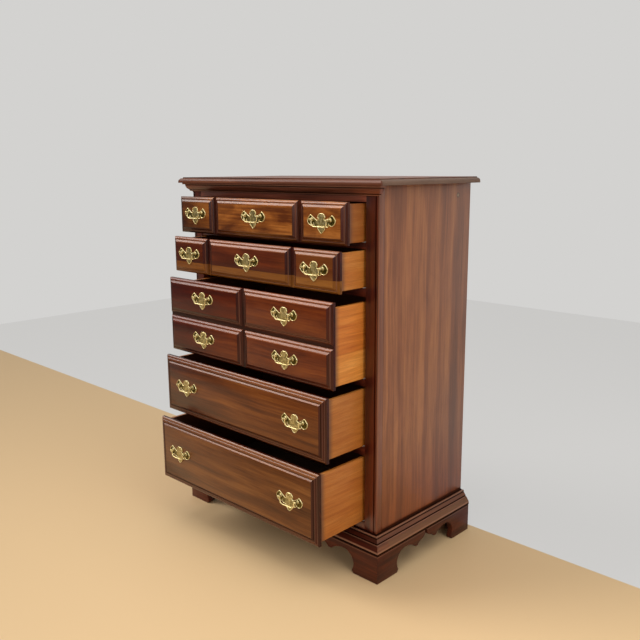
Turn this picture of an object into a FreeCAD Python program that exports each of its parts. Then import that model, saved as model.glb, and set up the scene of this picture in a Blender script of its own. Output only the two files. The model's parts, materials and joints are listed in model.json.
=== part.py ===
import FreeCAD, Part
import math
import os

V = FreeCAD.Vector

# A five-drawer chest with blocked (raised) drawer fronts, batwing bail pulls and bracket feet.
# Millimetres.  +X is the chest's right as seen by someone facing it from behind the drawers'
# fronts' side of the room (the viewer's right), +Y runs back, +Z up.  While the pieces are made,
# y = 0 is the face of the frame and x = 0 its middle; export() then moves the origin to the
# middle of the box that the chest and its drawers fill, on the floor.

# ---- carcass ----------------------------------------------------------------------------
case_width = 900.0           # over the side panels
case_depth = 483.0           # face of the frame to the back edge of the sides
side_thickness = 19.0
frame_thickness = 26.0       # stiles and top rail, front to back
stile_width = 49.0
rail_depth = 50.0            # drawer dividers, front to back
rail_setback = 1.5           # dividers stand back from the stiles' face
back_thickness = 5.0
back_rebate = 8.0            # rebate in each side that takes the back
bottom_board_thickness = 6.0
bead_width = 9.0             # rounded outer corner of each stile, stopped at both ends
bead_radius = 4.5
bead_low_stop = 50.0         # above the base moulding
bead_high_stop = 35.0        # below the top
quirk_width = 3.5            # groove that sets the bead off
quirk_depth = 3.0

# ---- top and cornice ----------------------------------------------------------------------
top_thickness = 20.0
top_overhang = 37.5          # front and both sides; the back edge is flush
top_edge = 13.0              # how far the moulded edge runs in from the widest line
top_step = 3.5               # height of the fillet under the flat
top_lip = 3.0                # square part at the bottom of the edge
cornice_height = 31.0
cornice_reach = 27.0         # in front of the frame and past its ends

# ---- base -----------------------------------------------------------------------------------
foot_height = 96.5
base_height = 52.0
base_reach = 36.5
bracket_setback = 1.0        # brackets stand back from the moulding's lowest edge
bracket_thickness = 20.0
bracket_length = 254.0       # from the outside corner along each face
foot_length = 101.0          # the part of a bracket that stands on the floor
rear_bracket_length = 130.0
block_size = 40.0            # glue blocks behind the feet
block_lift = 3.0
cut_past = 5.0               # how far a mitre's cut runs past the piece

# ---- drawer fronts, numbered from the top ------------------------------------------------------
front_1_height = 127.0
front_2_height = 125.0
front_3_height = 267.0
front_4_height = 206.0
front_5_height = 234.0
gap_below_1 = 14.0           # between one front and the next below it
gap_below_2 = 21.0
gap_below_3 = 17.0
gap_below_4 = 23.0
bottom_reveal = 20.0         # base moulding to the lowest front
top_reveal = 46.5            # highest front to the underside of the top
lip_cover = 3.0              # how far a front laps over the frame, all round
lip_thickness = 9.0          # thickness of a front at its edges
block_relief = 11.0          # how far the raised fields stand above that edge
block_root = 1.0             # how far a block's stock goes into the board behind it
front_gap = 0.5              # shut front to the face of the frame
channel_width = 12.0         # floor between two raised blocks
narrow_edge = 19.5           # moulded edge of a block on the upper three fronts
wide_edge = 26.0             # and on the lower two
block_split = 207.0          # channel centres of the three-block fronts, from the middle

# ---- drawer boxes ---------------------------------------------------------------------------
box_depth = 440.0            # behind the front
box_side_thickness = 12.0
box_back_thickness = 12.0
box_bottom_thickness = 5.0
box_bottom_lift = 9.0        # underside of the bottom above the sides' lower edge
groove_depth = 5.0
groove_play = 0.3
open_past = 1.0              # how far a groove's or trench's cut runs past its mouth
dado_depth = 6.0             # sides let into the back of the front
box_side_clearance = 10.5    # opening edge to the box, each side
box_rise = 2.0               # opening's lower edge to the sides' lower edge
box_head = [4.0, 4.0, 17.0, 10.0, 7.0]      # opening's upper edge to the sides' upper edge
running_gap = 0.3            # box on its glides and runners
guide_gap = 1.5              # box to the guide beside it
rest_opening = [76.0, 110.0, 138.5, 168.0, 203.0]   # how far each stands open at rest

# ---- runners, guides and glides ----------------------------------------------------------------
runner_width = 65.0
runner_thickness = 20.0
runner_back_gap = 8.0        # runners stop short of the back panel
cross_rail_width = 45.0
guide_height = 18.0
glide_radius = 7.0
glide_inset = 9.0            # glide centre behind the divider's front edge
glide_offset = 6.0           # glide centre in from the box's outside

# ---- pulls --------------------------------------------------------------------------------------
plate_span = 116.0           # batwing plate, tip to tip
plate_rise = 19.2            # its top above the posts' line
plate_drop = 41.7            # its foot below it
plate_thickness = 3.0
post_spacing = 76.2          # 3 inch boring
post_radius = 3.2
post_head_radius = 4.2
post_reach = 10.0            # plate to the bail's axis
nut_radius = 6.0
nut_thickness = 2.5
bail_radius = 2.1
bail_drop = 21.0             # axis to the middle of the bail's bottom
bail_pin_radius = 1.4
bail_pin_play = 0.08
bail_bend = 11.5             # radius of the bail's lower corners
bail_pin_bite = 3.0          # how far a pin enters its post
bail_head_gap = 0.5          # post head to the bail's arm
pull_lift = 9.7              # posts' line above the middle of a raised block
pull_spread_4 = 277.0        # fourth drawer's pulls from the middle
pull_spread_5 = 286.0

# ---- heights and widths that follow ---------------------------------------------------------------
half_case = case_width / 2.0
half_opening = half_case - stile_width
half_front = half_opening + lip_cover
base_top = foot_height + base_height
front_heights = [front_1_height, front_2_height, front_3_height, front_4_height, front_5_height]
front_gaps = [gap_below_1, gap_below_2, gap_below_3, gap_below_4]
side_inside = half_case - side_thickness
front_thickness = lip_thickness + block_relief
half_box = half_opening - box_side_clearance
box_inside = half_box - box_side_thickness

front_bottoms = []
level = base_top + bottom_reveal
for i in reversed(range(5)):
    front_bottoms.insert(0, level)
    level += front_heights[i] + (front_gaps[i - 1] if i else 0.0)
front_tops = [b + h for b, h in zip(front_bottoms, front_heights)]
opening_bottoms = [b + lip_cover for b in front_bottoms]
opening_tops = [t - lip_cover for t in front_tops]
case_top = front_tops[0] + top_reveal

runner_end = case_depth - back_thickness - runner_back_gap
run_levels = [b + box_rise - running_gap for b in opening_bottoms]     # tops of the runners

pull_reach = plate_thickness + post_reach + post_head_radius
front_most = -(rest_opening[4] + front_gap + front_thickness + pull_reach)
origin_shift = V(0, -(case_depth + front_most) / 2.0, 0)


# ---- helpers ----------------------------------------------------------------------------------------
def box(x0, x1, y0, y1, z0, z1):
    return Part.makeBox(x1 - x0, y1 - y0, z1 - z0, V(x0, y0, z0))


def mirrored(shape):
    return shape.mirror(V(0, 0, 0), V(1, 0, 0))


def both_sides(shape):
    return [shape, mirrored(shape)]


def fused(first, *others):
    return first.multiFuse(list(others)).removeSplitter()


def outline(place, start, *steps):
    """Face whose edge runs from start through steps: (u, v) is a line to that point,
    and ((u, v), (u, v)) an arc through the first point to the second."""
    edges = []
    here = start
    for step in steps:
        if isinstance(step[0], tuple):
            middle, there = step
            edges.append(Part.Arc(place(*here), place(*middle), place(*there)).toShape())
        else:
            there = step
            edges.append(Part.makeLine(place(*here), place(*there)))
        here = there
    if here != start:
        edges.append(Part.makeLine(place(*here), place(*start)))
    return Part.Face(Part.Wire(edges))


def there_and_back(start, steps, middle):
    """The steps from start, then their mirror image about u = middle taken backwards."""
    def flip(point):
        return (2 * middle - point[0], point[1])
    here = start
    back = []
    for step in steps:
        if isinstance(step[0], tuple):
            back.insert(0, (flip(step[0]), flip(here)))
            here = step[1]
        else:
            back.insert(0, flip(here))
            here = step
    turn = [] if abs(here[0] - middle) < 1e-6 else [flip(here)]
    return list(steps) + turn + back


def in_yz(x):
    return lambda u, v: V(x, u, v)


def in_xz(y):
    return lambda u, v: V(u, y, v)


def in_xy(z):
    return lambda u, v: V(u, v, z)


def wedge(corner_x, corner_y, dx, dy, side_x, side_y, z0, z1):
    """Upright three-sided prism: from a corner along (dx, dy), closed towards (side_x, side_y)."""
    face = outline(in_xy(z0), (corner_x, corner_y), (corner_x + dx, corner_y + dy),
                   (corner_x + side_x, corner_y + side_y))
    return face.extrude(V(0, 0, z1 - z0))


def export(node, *solids):
    shape = solids[0] if len(solids) == 1 else Part.makeCompound(list(solids))
    moved = shape.copy()
    moved.translate(origin_shift)
    moved.exportStep("parts/%s.step" % node)


# ---- case pieces -------------------------------------------------------------------------------------
def side_panel():
    panel = box(side_inside, half_case, frame_thickness, case_depth, foot_height, case_top)
    rebate = box(side_inside, side_inside + back_rebate, case_depth - back_thickness, case_depth,
                 foot_height, case_top)
    return panel.cut(rebate)


def stile():
    """Front stile with a stopped quirk and a rounded outer corner beside it."""
    post = box(half_opening, half_case, 0, frame_thickness, foot_height, case_top)
    bottom = base_top + bead_low_stop
    top = case_top - bead_high_stop
    quirk_x = half_case - bead_width - quirk_width
    quirk = box(quirk_x, quirk_x + quirk_width, 0, quirk_depth, bottom, top)
    near = bead_radius * (1 - math.sin(math.pi / 4))
    corner = outline(in_xy(bottom), (half_case, 0), (half_case - bead_radius, 0),
                     ((half_case - near, near), (half_case, bead_radius)))
    return post.cut(quirk).cut(corner.extrude(V(0, 0, top - bottom)))


def top_board():
    """Slab with a fillet over an ovolo worked on the front and both ends, mitred at the corners."""
    half = half_case + top_overhang
    top = case_top + top_thickness
    shoulder = top - top_step
    curve = 0.83 * top_edge
    rise = shoulder - case_top - top_lip

    def edge(line):
        return [(line, case_top + top_lip),
                ((line + 0.29 * curve, case_top + top_lip + 0.71 * rise), (line + curve, shoulder)),
                (line + top_edge, shoulder), (line + top_edge, top)]

    front = outline(in_yz(-half), (-top_overhang, case_top), *edge(-top_overhang), (case_depth, top),
                    (case_depth, case_top))
    corner = (-half, case_top)
    ends = outline(in_xz(-top_overhang), corner, *there_and_back(corner, edge(-half), 0))
    return front.extrude(V(2 * half, 0, 0)).common(ends.extrude(V(0, case_depth + top_overhang, 0)))


def cornice_profile(place):
    """Bed moulding under the top: fillet, ovolo and a small bead, reaching out from the frame."""
    r = cornice_reach
    z = case_top
    h = cornice_height
    return outline(place, (0, z), (r, z), (r, z - 0.18 * h), (0.73 * r, z - 0.24 * h),
                   ((0.61 * r, z - 0.57 * h), (0.36 * r, z - 0.80 * h)), (0.30 * r, z - 0.86 * h),
                   ((0.25 * r, z - 0.95 * h), (0.10 * r, z - 0.98 * h)), (0, z - h))


def cornice_front():
    length = case_width + 2 * cornice_reach
    bar = cornice_profile(lambda u, v: V(-length / 2, -u, v)).extrude(V(length, 0, 0))
    reach = cornice_reach + cut_past
    end = wedge(half_case, 0, reach, -reach, reach, 0, case_top - cornice_height, case_top)
    return bar.cut(end).cut(mirrored(end))


def cornice_return():
    """Mitred end piece that turns the moulding back to the face of the frame."""
    profile = cornice_profile(lambda u, v: V(half_case + u, -cornice_reach, v))
    bar = profile.extrude(V(0, cornice_reach, 0))
    reach = cornice_reach + cut_past
    return bar.cut(wedge(half_case, 0, reach, -reach, 0, -reach, case_top - cornice_height, case_top))


def base_profile(place):
    """Base moulding: small cove, bead, ogee, ovolo and a square lower edge."""
    r = base_reach
    b = foot_height
    h = base_height
    return outline(place, (0, b), (r, b), (r, b + 0.22 * h),
                   ((0.91 * r, b + 0.33 * h), (0.66 * r, b + 0.56 * h)),
                   (0.60 * r, b + 0.57 * h), (0.58 * r, b + 0.62 * h),
                   ((0.47 * r, b + 0.75 * h), (0.38 * r, b + 0.83 * h)),
                   (0.35 * r, b + 0.86 * h),
                   ((0.38 * r, b + 0.93 * h), (0.28 * r, b + 0.955 * h)),
                   (0.19 * r, b + 0.955 * h), ((0.07 * r, b + 0.965 * h), (0, b + h)))


def base_front():
    length = case_width + 2 * base_reach
    profile = base_profile(lambda u, v: V(-length / 2, -u, v))
    bar = profile.extrude(V(length, 0, 0))
    reach = base_reach + cut_past
    end = wedge(half_case, 0, reach, -reach, reach, 0, foot_height, base_top)
    return bar.cut(end).cut(mirrored(end))


def base_side():
    profile = base_profile(lambda u, v: V(half_case + u, -base_reach, v))
    bar = profile.extrude(V(0, case_depth + base_reach, 0))
    reach = base_reach + cut_past
    return bar.cut(wedge(half_case, 0, reach, -reach, 0, -reach, foot_height, base_top))


def bracket_outline(place):
    """Shaped bracket: s runs from the outside corner, z up from the floor."""
    f = foot_length
    h = foot_height
    length = bracket_length
    spur = f + 0.08 * h
    cusp = length - 0.21 * length
    return outline(place, (0, 0), (f, 0), (spur, 0.10 * h), (f + 0.02 * h, 0.24 * h),
                   (f, 0.36 * h),
                   ((f + 0.22 * h, 0.72 * h), (f + 0.48 * h, 0.78 * h)),
                   ((f + 0.80 * h, 0.71 * h), (cusp, 0.56 * h)),
                   (cusp + 0.05 * length, 0.56 * h),
                   ((cusp + 0.10 * length, 0.68 * h), (length - 0.06 * length, 0.72 * h)),
                   ((length - 0.02 * length, 0.78 * h), (length, 0.93 * h)),
                   (length, h), (0, h))


def front_bracket():
    outer = half_case + base_reach - bracket_setback
    face = -base_reach + bracket_setback
    plate = bracket_outline(lambda s, z: V(outer - s, face, z)).extrude(V(0, bracket_thickness, 0))
    t = bracket_thickness + cut_past
    return plate.cut(wedge(outer, face, -t, t, 0, t, 0, foot_height))


def side_bracket_front():
    outer = half_case + base_reach - bracket_setback
    face = -base_reach + bracket_setback
    plate = bracket_outline(lambda s, z: V(outer, face + s, z)).extrude(V(-bracket_thickness, 0, 0))
    t = bracket_thickness + cut_past
    return plate.cut(wedge(outer, face, -t, t, -t, 0, 0, foot_height))


def side_bracket_rear():
    outer = half_case + base_reach - bracket_setback
    return bracket_outline(lambda s, z: V(outer, case_depth - s, z)).extrude(V(-bracket_thickness, 0, 0))


def rear_bracket():
    """Plain board behind a rear foot, its lower inner corner cut off."""
    outer = half_case + base_reach - bracket_setback - bracket_thickness
    inner = outer - rear_bracket_length
    face = outline(in_xz(case_depth - bracket_thickness), (outer, 0),
                   (inner + 0.2 * rear_bracket_length, 0), (inner, 0.6 * foot_height),
                   (inner, foot_height), (outer, foot_height))
    return face.extrude(V(0, bracket_thickness, 0))


def foot_block(front):
    outer = half_case + base_reach - bracket_setback - bracket_thickness
    if front:
        start = -base_reach + bracket_setback + bracket_thickness
    else:
        start = case_depth - bracket_thickness - block_size
    return box(outer - block_size, outer, start, start + block_size, block_lift, foot_height)


def divider(i):
    """Rail between drawer i and the one below it."""
    return box(-half_opening, half_opening, rail_setback, rail_depth, opening_tops[i + 1], opening_bottoms[i])


def runner(i):
    """Side runner under drawer i, butted behind the front rail."""
    return box(side_inside - runner_width, side_inside, rail_depth, runner_end,
               run_levels[i] - runner_thickness, run_levels[i])


def cross_rail(i):
    half = side_inside - runner_width
    return box(-half, half, runner_end - cross_rail_width, runner_end,
               run_levels[i] - runner_thickness, run_levels[i])


def guide(i):
    """Strip on the runner that keeps drawer i straight."""
    return box(half_box + guide_gap, side_inside, rail_depth, runner_end,
               run_levels[i], run_levels[i] + guide_height)


def glide(i):
    """Nylon button on the rail under the corner of drawer i's side."""
    return Part.makeCylinder(glide_radius, box_rise - running_gap,
                             V(half_box - glide_offset, rail_setback + glide_inset, opening_bottoms[i]))


# ---- drawers ---------------------------------------------------------------------------------------------
def block_cells(i):
    """Cells (x0, x1, z0, z1) of the raised blocks on front i, to the outer edges of their mouldings."""
    z0 = front_bottoms[i]
    z1 = front_tops[i]
    half_channel = channel_width / 2.0
    if i in (0, 1):
        across = [(-half_front, -block_split - half_channel),
                  (-block_split + half_channel, block_split - half_channel),
                  (block_split + half_channel, half_front)]
        return [(a, b, z0, z1) for a, b in across]
    if i == 2:
        middle = (z0 + z1) / 2.0
        across = [(-half_front, -half_channel), (half_channel, half_front)]
        upright = [(middle + half_channel, z1), (z0, middle - half_channel)]
        return [(a, b, c, d) for c, d in upright for a, b in across]
    return [(-half_front, half_front, z0, z1)]


def edge_width(i):
    return narrow_edge if i < 3 else wide_edge


def moulded_edge(i, line):
    """Edge of a block on front i, rising from line: quarter round, flat, then an ogee or a second
    quarter round up to the field.  Points are (distance across, height)."""
    w = edge_width(i)
    h = block_relief
    if i < 3:
        return [(line, 0.08 * h), ((line + 0.12 * w, 0.42 * h), (line + 0.40 * w, 0.59 * h)),
                (line + 0.54 * w, 0.59 * h),
                ((line + 0.67 * w, 0.64 * h), (line + 0.79 * w, 0.80 * h)),
                ((line + 0.88 * w, 0.945 * h), (line + w, h))]
    return [(line, 0.05 * h), ((line + 0.05 * w, 0.28 * h), (line + 0.17 * w, 0.38 * h)),
            (line + 0.35 * w, 0.38 * h), (line + 0.36 * w, 0.50 * h),
            ((line + 0.38 * w, 0.60 * h), (line + 0.43 * w, 0.64 * h)),
            (line + 0.60 * w, 0.66 * h), (line + 0.61 * w, 0.72 * h),
            ((line + 0.79 * w, 0.92 * h), (line + w, h))]


def raised(i, cell, y):
    """Block of front i: its profile run across and upright, kept where both agree, which mitres
    the corners.  y is the plane its edges rise from; its root is sunk into the board behind."""
    x0, x1, z0, z1 = cell
    low = (z0, -block_root)
    upright = outline(lambda u, v: V(x0, y - v, u), low,
                      *there_and_back(low, moulded_edge(i, z0), (z0 + z1) / 2.0))
    low = (x0, -block_root)
    across = outline(lambda u, v: V(u, y - v, z0), low,
                     *there_and_back(low, moulded_edge(i, x0), (x0 + x1) / 2.0))
    return upright.extrude(V(x1 - x0, 0, 0)).common(across.extrude(V(0, 0, z1 - z0)))


def front_back(i):
    """y of the back face of front i at rest."""
    return -(rest_opening[i] + front_gap)


def box_bottom_z(i):
    return opening_bottoms[i] + box_rise


def box_top_z(i):
    return opening_tops[i] - box_head[i]


def panel_bottom(i):
    return box_bottom_z(i) + box_bottom_lift


def drawer_front(i):
    """Lipped front with raised blocks, trenched behind for the sides and grooved for the bottom."""
    y = front_back(i)
    board = box(-half_front, half_front, y - lip_thickness, y, front_bottoms[i], front_tops[i])
    body = fused(board, *[raised(i, cell, y - lip_thickness) for cell in block_cells(i)])
    trench = box(box_inside - groove_play, half_box + groove_play, y - dado_depth, y + open_past,
                 box_bottom_z(i) - groove_play, box_top_z(i) + groove_play)
    groove = box(-box_inside, box_inside, y - groove_depth, y + open_past,
                 panel_bottom(i), panel_bottom(i) + box_bottom_thickness + groove_play)
    return body.cut(trench).cut(mirrored(trench)).cut(groove)


def drawer_side(i):
    y = front_back(i)
    side = box(box_inside, half_box, y - dado_depth, y + box_depth, box_bottom_z(i), box_top_z(i))
    groove = box(box_inside - open_past, box_inside + groove_depth + groove_play,
                 y - dado_depth - open_past, y + box_depth + open_past,
                 panel_bottom(i), panel_bottom(i) + box_bottom_thickness + groove_play)
    return side.cut(groove)


def drawer_back(i):
    y = front_back(i) + box_depth
    return box(-box_inside, box_inside, y - box_back_thickness, y,
               panel_bottom(i) + box_bottom_thickness, box_top_z(i))


def drawer_bottom(i):
    """Panel in the sides' grooves, with a narrower tongue in the front's."""
    y = front_back(i)
    low = panel_bottom(i)
    high = low + box_bottom_thickness
    wide = box_inside + groove_depth
    tongue = box_inside - groove_play
    return fused(box(-wide, wide, y, y + box_depth, low, high),
                 box(-tongue, tongue, y - groove_depth, y, low, high))


# ---- pulls -------------------------------------------------------------------------------------------------
def pull_places(i):
    """{name: (x, z)} of the pulls' posts' line on front i, just above the middle of each block."""
    middles = [((a + b) / 2.0, (c + d) / 2.0 + pull_lift) for a, b, c, d in block_cells(i)]
    if i in (0, 1):
        return dict(zip(("left", "middle", "right"), middles))
    if i == 2:
        return dict(zip(("upper_left", "upper_right", "lower_left", "lower_right"), middles))
    z = middles[0][1]
    spread = pull_spread_4 if i == 3 else pull_spread_5
    return {"left": (-spread, z), "right": (spread, z)}


def plate_face(x, y, z):
    """Batwing outline, drawn from its top lobe round one wing to the foot and back up the other."""
    w = plate_span / 2.0
    up = plate_rise
    down = -plate_drop
    wing = [((0.21 * w, 0.80 * up), (0.27 * w, 0.45 * up)), ((0.26 * w, 0.27 * up), (0.215 * w, 0.16 * up)),
            ((0.24 * w, 0.01 * up), (0.31 * w, -0.05 * up)), ((0.54 * w, 0.33 * up), (0.755 * w, 0.78 * up)),
            ((0.90 * w, 0.43 * up), (w, 0.04 * up)), ((0.95 * w, 0.27 * down), (0.80 * w, 0.43 * down)),
            ((0.715 * w, 0.455 * down), (0.63 * w, 0.435 * down)),
            ((0.57 * w, 0.40 * down), (0.54 * w, 0.33 * down)),
            ((0.51 * w, 0.46 * down), (0.43 * w, 0.54 * down)),
            ((0.33 * w, 0.535 * down), (0.235 * w, 0.62 * down)),
            ((0.235 * w, 0.71 * down), (0.19 * w, 0.77 * down)), ((0.11 * w, 0.90 * down), (0, down))]
    top = (0, up)
    return outline(lambda u, v: V(x + u, y, z + v), top, *there_and_back(top, wing, 0))


def pull_fixed(x, z, i):
    """Backplate, its two posts with cross holes, and the nuts inside the drawer."""
    field = front_back(i) - front_thickness
    plate = plate_face(x, field, z).extrude(V(0, -plate_thickness, 0))
    axis_y = field - plate_thickness - post_reach
    solids = [plate]
    for side in (-1, 1):
        px = x + side * post_spacing / 2.0
        stem = Part.makeCylinder(post_radius, post_reach, V(px, axis_y, z), V(0, 1, 0))
        head = Part.makeSphere(post_head_radius, V(px, axis_y, z))
        hole_from = px - side * (post_head_radius - bail_pin_bite - bail_pin_play)
        hole = Part.makeCylinder(bail_pin_radius + bail_pin_play, 2 * post_head_radius,
                                 V(hole_from, axis_y, z), V(-side, 0, 0))
        solids.append(fused(stem, head).cut(hole))
        solids.append(Part.makeCylinder(nut_radius, nut_thickness, V(px, front_back(i), z), V(0, 1, 0)))
    return solids


def bail(x, z, i):
    """Bail hanging between its posts from two pins that point outwards into them."""
    y = front_back(i) - front_thickness - plate_thickness - post_reach
    socket = post_spacing / 2.0 - post_head_radius
    arm = socket - bail_head_gap - bail_radius
    near = bail_bend * (1 - math.sin(math.pi / 4))
    ends = []
    curve = []
    for side in (-1, 1):
        ends.append(V(x + side * arm, y, z + bail_radius / 2.0))
        curve.append((V(x + side * arm, y, z - bail_drop + bail_bend),
                      V(x + side * (arm - near), y, z - bail_drop + near),
                      V(x + side * (arm - bail_bend), y, z - bail_drop)))
    left, right = curve
    path = Part.Wire([
        Part.makeLine(ends[0], left[0]), Part.Arc(*left).toShape(), Part.makeLine(left[2], right[2]),
        Part.Arc(*reversed(right)).toShape(), Part.makeLine(right[0], ends[1])])
    section = Part.Wire([Part.makeCircle(bail_radius, ends[0], V(0, 0, 1))])
    parts = [path.makePipeShell([section], True, True)]
    reach = socket + bail_pin_bite - arm
    for side, end in zip((-1, 1), ends):
        parts.append(Part.makeSphere(bail_radius, end))
        parts.append(Part.makeCylinder(bail_pin_radius, reach, V(x + side * arm, y, z), V(side, 0, 0)))
    return fused(*parts)


# ---- build -------------------------------------------------------------------------------------------------
os.makedirs("parts", exist_ok=True)

export("top_board", top_board())
export("cornice_moulding", cornice_front(), *both_sides(cornice_return()))
export("side_panel_left", mirrored(side_panel()))
export("side_panel_right", side_panel())
export("stile_left", mirrored(stile()))
export("stile_right", stile())
export("top_rail", box(-half_opening, half_opening, 0, frame_thickness, opening_tops[0], case_top))
export("divider_rails", *[divider(i) for i in range(4)])
export("bottom_rail", box(-half_opening, half_opening, 0, rail_depth, foot_height, opening_bottoms[4]))
export("runner_frames", *[part for i in range(5) for part in both_sides(runner(i)) + [cross_rail(i)]])
export("drawer_guides", *[part for i in range(5) for part in both_sides(guide(i))])
export("rail_glides", *[part for i in range(5) for part in both_sides(glide(i))])
export("back_panel", box(-side_inside - back_rebate, side_inside + back_rebate,
                         case_depth - back_thickness, case_depth, foot_height, case_top))
runner_underside = opening_bottoms[4] + box_rise - running_gap - runner_thickness
export("bottom_board", box(-side_inside, side_inside, rail_depth, case_depth - back_thickness,
                           runner_underside - bottom_board_thickness, runner_underside))
export("base_moulding_front", base_front())
export("base_moulding_sides", *both_sides(base_side()))
export("front_brackets", *both_sides(front_bracket()))
export("side_brackets", *(both_sides(side_bracket_front()) + both_sides(side_bracket_rear())))
export("rear_brackets", *both_sides(rear_bracket()))
export("foot_blocks", *(both_sides(foot_block(True)) + both_sides(foot_block(False))))

for i in range(5):
    name = "drawer_%d" % (i + 1)
    export(name + "_front", drawer_front(i))
    export(name + "_sides", *both_sides(drawer_side(i)))
    export(name + "_back", drawer_back(i))
    export(name + "_bottom", drawer_bottom(i))
    places = pull_places(i)
    export(name + "_pull_plates", *[solid for x, z in places.values() for solid in pull_fixed(x, z, i)])
    for place, (x, z) in places.items():
        export("%s_bail_%s" % (name, place), bail(x, z, i))
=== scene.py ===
import math

import bmesh
import bpy
from mathutils import Matrix, Vector
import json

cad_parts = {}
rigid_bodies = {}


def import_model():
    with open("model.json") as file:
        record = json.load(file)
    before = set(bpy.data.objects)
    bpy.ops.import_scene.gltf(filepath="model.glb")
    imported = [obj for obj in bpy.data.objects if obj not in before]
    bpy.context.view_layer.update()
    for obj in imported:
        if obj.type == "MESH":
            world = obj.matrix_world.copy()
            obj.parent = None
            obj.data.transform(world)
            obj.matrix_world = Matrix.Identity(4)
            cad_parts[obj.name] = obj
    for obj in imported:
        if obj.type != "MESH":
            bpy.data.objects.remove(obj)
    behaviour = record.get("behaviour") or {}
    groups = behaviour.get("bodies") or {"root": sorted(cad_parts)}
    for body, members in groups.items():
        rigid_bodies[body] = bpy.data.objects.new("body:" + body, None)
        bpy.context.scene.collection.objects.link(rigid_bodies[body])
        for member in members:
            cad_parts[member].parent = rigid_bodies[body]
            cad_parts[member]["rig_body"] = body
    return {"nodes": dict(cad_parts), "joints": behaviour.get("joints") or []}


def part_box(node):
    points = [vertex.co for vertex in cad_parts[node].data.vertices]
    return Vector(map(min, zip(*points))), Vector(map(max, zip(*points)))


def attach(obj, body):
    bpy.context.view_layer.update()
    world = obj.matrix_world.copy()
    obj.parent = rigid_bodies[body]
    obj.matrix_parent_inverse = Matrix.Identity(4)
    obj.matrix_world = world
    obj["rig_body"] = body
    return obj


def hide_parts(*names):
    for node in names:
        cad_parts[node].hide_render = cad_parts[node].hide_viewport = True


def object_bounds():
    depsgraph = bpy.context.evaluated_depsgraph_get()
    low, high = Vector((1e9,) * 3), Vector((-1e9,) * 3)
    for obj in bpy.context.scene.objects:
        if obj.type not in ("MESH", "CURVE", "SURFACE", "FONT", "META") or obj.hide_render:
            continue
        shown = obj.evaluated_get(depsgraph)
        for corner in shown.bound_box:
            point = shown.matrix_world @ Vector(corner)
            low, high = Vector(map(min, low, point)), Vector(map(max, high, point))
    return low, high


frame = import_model()
cad_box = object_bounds()

# ---- Side panels ----
# Plywood sides faced with one leaf of ribbon-striped mahogany each, its stripes upright, under a
# satin lacquer that has faded to a greyish pink-brown.  They are glued behind the stiles, and
# their arrises are only just broken with sandpaper.  The right one has a plugged hole near its top.
# Their lower part is made more orange, a painted reflection of the floor.

side_arris = 0.0006
side_tones = ("#6b3f27", "#895434", "#a76e44")
side_grain = dict(figure=(1.6, 15.0), stripe=(0.7, 28.0), stripe_share=0.55, contrast=0.12)
floor_reflection_heights = (0.17, 0.45)     # heights between which the painted reflection of the floor on the sides' lower part ends
floor_reflection_tone = "#dc9f5c"
base_band_height = 0.008            # dark line along the base moulding
base_band_tone = "#301206"
plug_back = 0.410            # plugged hole, behind the face of the frame
plug_height = 1.209
plug_radius = 0.009
board_angle = 32             # sharper edges than this are arrises, in degrees
crease_angle = 40            # and sharper ones than this shade as creases
streak_share = 0.25
case_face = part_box("stile_left")[0].y
stile_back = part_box("stile_left")[1].y
base_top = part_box("base_moulding_front")[1].z


def tint(code):
    """Linear colour of an sRGB hex code."""
    parts = [int(code[k:k + 2], 16) / 255 for k in (1, 3, 5)]
    return [p / 12.92 if p <= 0.04045 else ((p + 0.055) / 1.055) ** 2.4 for p in parts] + [1.0]


def fill(tree, sockets, values):
    """Sets each socket to its value, or links it where the value is a socket; None leaves it."""
    for socket, value in zip(sockets, values):
        if isinstance(value, bpy.types.NodeSocket):
            tree.links.new(value, socket)
        elif value is not None:
            socket.default_value = value


def add(tree, kind, *values, **settings):
    """A new shader node with its settings, and with the values in its inputs, in order."""
    made = tree.nodes.new("ShaderNode" + kind)
    for name, value in settings.items():
        setattr(made, name, value)
    fill(tree, made.inputs, values)
    return made


def sums(tree, operation, *values):
    """One step of arithmetic."""
    return add(tree, "Math", *values, operation=operation).outputs[0]


def times(tree, first, second):
    return sums(tree, "MULTIPLY", first, second)


def ramp(tree, factor, *stops):
    """Colour ramp through (position, colour) stops; a colour given as one number is a grey."""
    made = add(tree, "ValToRGB", factor)
    marks = made.color_ramp.elements
    while len(marks) < len(stops):
        marks.new(0.5)
    for mark, (position, colour) in zip(marks, stops):
        mark.position = position
        mark.color = (colour, colour, colour, 1) if isinstance(colour, (int, float)) else colour
    return made.outputs[0]


def mixed(tree, blend, amount, first, second):
    """The first colour at amount 0, blended with the second at amount 1."""
    made = add(tree, "Mix", data_type="RGBA", blend_type=blend)
    fill(tree, (made.inputs[0], made.inputs[6], made.inputs[7]), (amount, first, second))
    return made.outputs[2]


def wash(tree, colour, amount, share, tone, blend="MIX"):
    """The colour with a share of a tone laid over it where amount is 1."""
    return mixed(tree, blend, times(tree, amount, share), colour, tint(tone))


def fibres(tree, where, along, across, detail=3.0, roughness=0.55, distortion=0.0, shift=0.0):
    """Noise drawn out along U (or the axis that was turned to U): features per metre each way."""
    spread = add(tree, "Mapping", where, (shift, shift, shift), (0, 0, 0), (along, across, across))
    noise = add(tree, "TexNoise", spread.outputs[0], None, 1.0, detail, roughness)
    noise.inputs["Distortion"].default_value = distortion
    return noise.outputs[0]


def grain_space(tree, axis):
    """Object coordinates turned so that the wood's length lies along X; "UV" reads the piece's map."""
    source = add(tree, "TexCoord")
    if axis == "UV":
        return source.outputs["UV"]
    turn = {"X": (0, 0, 0), "Y": (0, 0, math.pi / 2), "Z": (0, math.pi / 2, 0)}[axis]
    return add(tree, "Mapping", source.outputs["Object"], (0, 0, 0), turn).outputs[0]


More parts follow.
